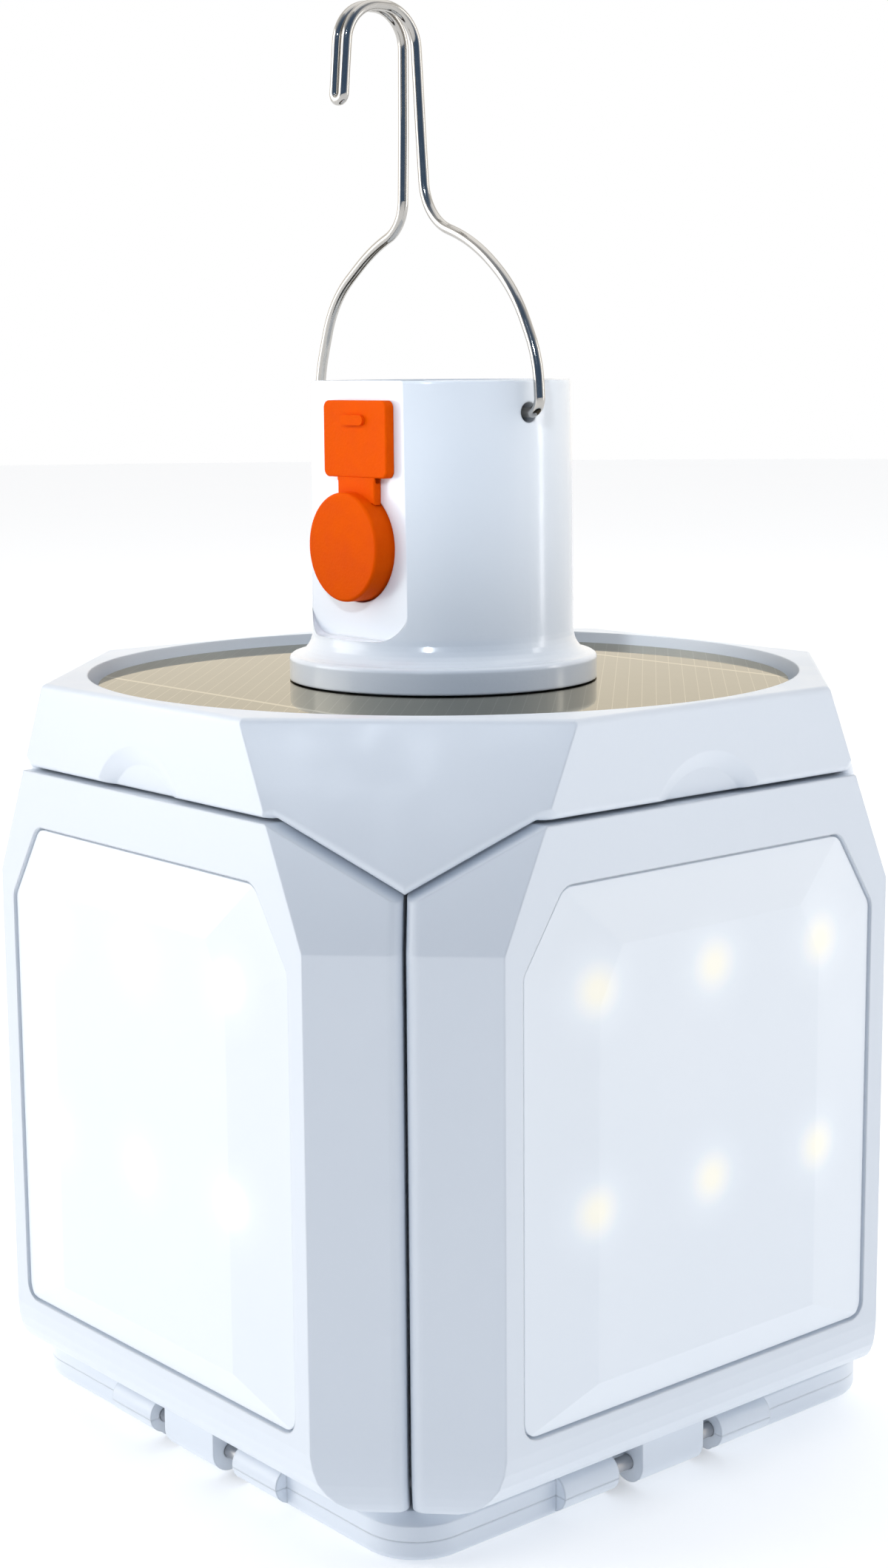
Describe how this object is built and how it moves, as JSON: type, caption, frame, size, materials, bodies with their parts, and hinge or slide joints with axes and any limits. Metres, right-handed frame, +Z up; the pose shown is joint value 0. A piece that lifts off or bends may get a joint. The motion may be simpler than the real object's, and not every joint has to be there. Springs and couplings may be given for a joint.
{
  "type": "camping lantern",
  "caption": "Square camping lantern with hinged light panels that fold out, a ring of solar cells on its cap, and a wire bail with a hook to hang it by.",
  "frame": {"origin": "middle of the base's underside, where the lantern stands", "axes": "+Z up along the neck, +X out of the right panel, -Y out of the front panel, on the side of the switch and charging port"},
  "size_m": [0.1174, 0.1174, 0.2178],
  "materials": {
    "shell_white": "satin",
    "core_white": "satin",
    "lens_clear": "glossy translucent",
    "led_warm": "glossy",
    "board_white": "satin",
    "board_green": "satin",
    "chip_black": "matte",
    "steel_screw": "brushed",
    "wire_steel": "polished",
    "silicone_orange": "matte",
    "solar_dark": "glossy",
    "solar_back": "satin",
    "cell_wrap": "glossy",
    "magnet_nickel": "polished",
    "socket_metal": "brushed"
  },
  "bodies": {
    "housing": {"base_frame": "shell_white", "base_cover": "shell_white", "base_screws": "steel_screw", "base_lens": "lens_clear", "base_board": "board_white", "base_leds": "led_warm", "core_rear": "core_white", "core_front": "core_white", "battery": "cell_wrap", "battery_contacts": "socket_metal", "main_board": "board_green", "board_chips": "chip_black", "cap": "shell_white", "cap_chassis": "core_white", "latch_magnets": "magnet_nickel", "cap_screws": "steel_screw", "solar_board": "solar_back", "solar_face": "solar_dark", "neck": "shell_white", "neck_lid": "shell_white", "neck_board": "board_green", "charge_port": "socket_metal", "mode_switch": "chip_black", "strap_root": "silicone_orange"},
    "right_panel": {"right_frame": "shell_white", "right_lens": "lens_clear", "right_board": "board_white", "right_leds": "led_warm", "right_back": "core_white", "right_screws": "steel_screw", "right_pin": "steel_screw", "right_strike": "socket_metal"},
    "back_panel": {"back_frame": "shell_white", "back_lens": "lens_clear", "back_board": "board_white", "back_leds": "led_warm", "back_back": "core_white", "back_screws": "steel_screw", "back_pin": "steel_screw", "back_strike": "socket_metal"},
    "left_panel": {"left_frame": "shell_white", "left_lens": "lens_clear", "left_board": "board_white", "left_leds": "led_warm", "left_back": "core_white", "left_screws": "steel_screw", "left_pin": "steel_screw", "left_strike": "socket_metal"},
    "front_panel": {"front_frame": "shell_white", "front_lens": "lens_clear", "front_board": "board_white", "front_leds": "led_warm", "front_back": "core_white", "front_screws": "steel_screw", "front_pin": "steel_screw", "front_strike": "socket_metal"},
    "bail": {"bail_wire": "wire_steel"},
    "port_cover": {"port_flap": "silicone_orange"},
    "button": {"power_button": "silicone_orange"}
  },
  "joints": [
    {"name": "right_panel_hinge", "type": "hinge", "parent": "housing", "child": "right_panel", "pos_m": [0.0484, 0, 0.0034], "axis": [0, 1, 0], "range_deg": [0, 90]},
    {"name": "back_panel_hinge", "type": "hinge", "parent": "housing", "child": "back_panel", "pos_m": [0, 0.0484, 0.0034], "axis": [-1, 0, 0], "range_deg": [0, 90]},
    {"name": "left_panel_hinge", "type": "hinge", "parent": "housing", "child": "left_panel", "pos_m": [-0.0484, 0, 0.0034], "axis": [0, -1, 0], "range_deg": [0, 90]},
    {"name": "front_panel_hinge", "type": "hinge", "parent": "housing", "child": "front_panel", "pos_m": [0, -0.0484, 0.0034], "axis": [1, 0, 0], "range_deg": [0, 90]},
    {"name": "bail_swing", "type": "hinge", "parent": "housing", "child": "bail", "pos_m": [0, 0, 0.1566], "axis": [1, 0, 0], "range_deg": [-100, 100]},
    {"name": "port_cover_hinge", "type": "hinge", "parent": "housing", "child": "port_cover", "pos_m": [0.0006, -0.01745, 0.1469], "axis": [1, 0, 0], "range_deg": [0, 100]},
    {"name": "button_press", "type": "slide", "parent": "housing", "child": "button", "axis": [0, 1, 0], "range_m": [0, 0.0008], "stiffness_N_per_m": 800}
  ]
}
